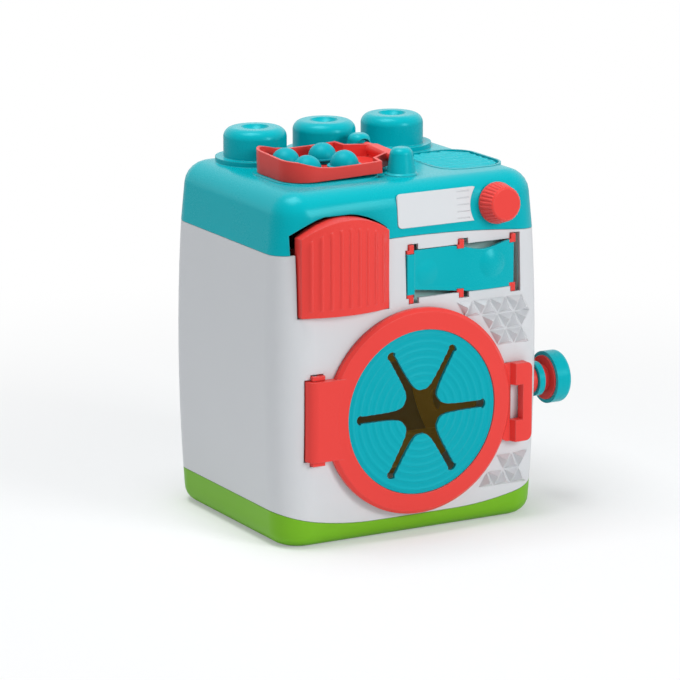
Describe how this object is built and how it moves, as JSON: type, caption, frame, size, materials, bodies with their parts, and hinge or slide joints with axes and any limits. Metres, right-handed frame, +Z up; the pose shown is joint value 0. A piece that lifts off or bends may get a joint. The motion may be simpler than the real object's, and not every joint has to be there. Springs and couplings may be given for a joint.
{
  "type": "toy washing machine",
  "caption": "Free-standing toy washing machine with a star-slit door, cranked drum, pull-out drawer, dial, sliding wave panel, rocking bubble tray and studs on the lid.",
  "frame": {"origin": "on the floor under the middle of the base", "axes": "+Z up, the door looks along -Y, the crank is on the +X side"},
  "size_m": [0.2432, 0.1821, 0.27],
  "materials": {
    "body_white": "satin moulded plastic",
    "lid_teal": "satin moulded plastic",
    "shell_red": "satin moulded plastic",
    "base_green": "satin moulded plastic",
    "membrane_teal": "soft moulded rubber",
    "plate_white": "satin moulded plastic",
    "drum_amber": "satin moulded plastic",
    "housing_mint": "satin moulded plastic",
    "screw_steel": "plain",
    "bush_dark": "matt"
  },
  "bodies": {
    "housing": {"base_tray": "base_green", "base_screws": "screw_steel", "body_shell": "body_white", "lid_cover": "lid_teal", "lid_screws": "screw_steel", "label_plate": "plate_white", "inner_deck": "body_white", "knob_spring": "body_white", "runner_left": "body_white", "runner_right": "body_white", "wave_housing": "housing_mint", "hinge_pin": "screw_steel", "hinge_bracket": "shell_red", "latch_clip": "bush_dark", "tub": "body_white", "bush_left": "bush_dark", "bush_right": "bush_dark", "side_bush": "lid_teal"},
    "door": {"door_ring": "shell_red", "door_membrane": "membrane_teal", "membrane_clamp": "shell_red", "door_screws": "screw_steel"},
    "drawer": {"drawer_front": "shell_red", "drawer_box": "shell_red"},
    "dial": {"knob": "shell_red", "knob_screw": "screw_steel"},
    "wave_slider": {"wave_panel": "lid_teal", "wave_bar_1": "shell_red", "wave_bar_2": "shell_red", "wave_bar_3": "shell_red"},
    "crank": {"crank_shaft": "screw_steel", "crank_arm": "shell_red", "crank_screw": "screw_steel", "crank_cap": "plate_white", "handle_pin": "screw_steel", "drum_end_left": "drum_amber", "drum_end_right": "drum_amber", "drum_vane_1": "drum_amber", "drum_vane_2": "drum_amber", "drum_vane_3": "drum_amber"},
    "crank_handle": {"handle_collar": "lid_teal", "handle_core": "shell_red", "handle_wheel": "lid_teal"},
    "bubble_tray": {"rocker_tray": "shell_red", "rocker_axle": "shell_red", "bubble_1": "membrane_teal", "bubble_2": "membrane_teal", "bubble_3": "membrane_teal", "bubble_4": "membrane_teal"}
  },
  "joints": [
    {"name": "door_hinge", "type": "hinge", "parent": "housing", "child": "door", "pos_m": [-0.08, -0.08545, 0.0888], "axis": [0, 0, -1], "range_deg": [0, 115]},
    {"name": "drawer_slide", "type": "slide", "parent": "housing", "child": "drawer", "axis": [0, -1, 0], "range_m": [0, 0.052]},
    {"name": "dial_turn", "type": "hinge", "parent": "housing", "child": "dial", "pos_m": [0.065, -0.08144, 0.2265], "axis": [0, -0.9954, 0.0958], "continuous": true},
    {"name": "wave_shift", "type": "slide", "parent": "housing", "child": "wave_slider", "axis": [1, 0, 0], "range_m": [0, 0.004]},
    {"name": "tray_rock", "type": "hinge", "parent": "housing", "child": "bubble_tray", "pos_m": [0.009, -0.018, 0.2565], "axis": [0, 1, 0], "range_deg": [0, 12]},
    {"name": "crank_turn", "type": "hinge", "parent": "housing", "child": "crank", "pos_m": [0.10575, -0.002, 0.0888], "axis": [1, 0, 0], "continuous": true},
    {"name": "handle_spin", "type": "hinge", "parent": "crank", "child": "crank_handle", "pos_m": [0.125, -0.05, 0.0888], "axis": [1, 0, 0], "continuous": true}
  ]
}
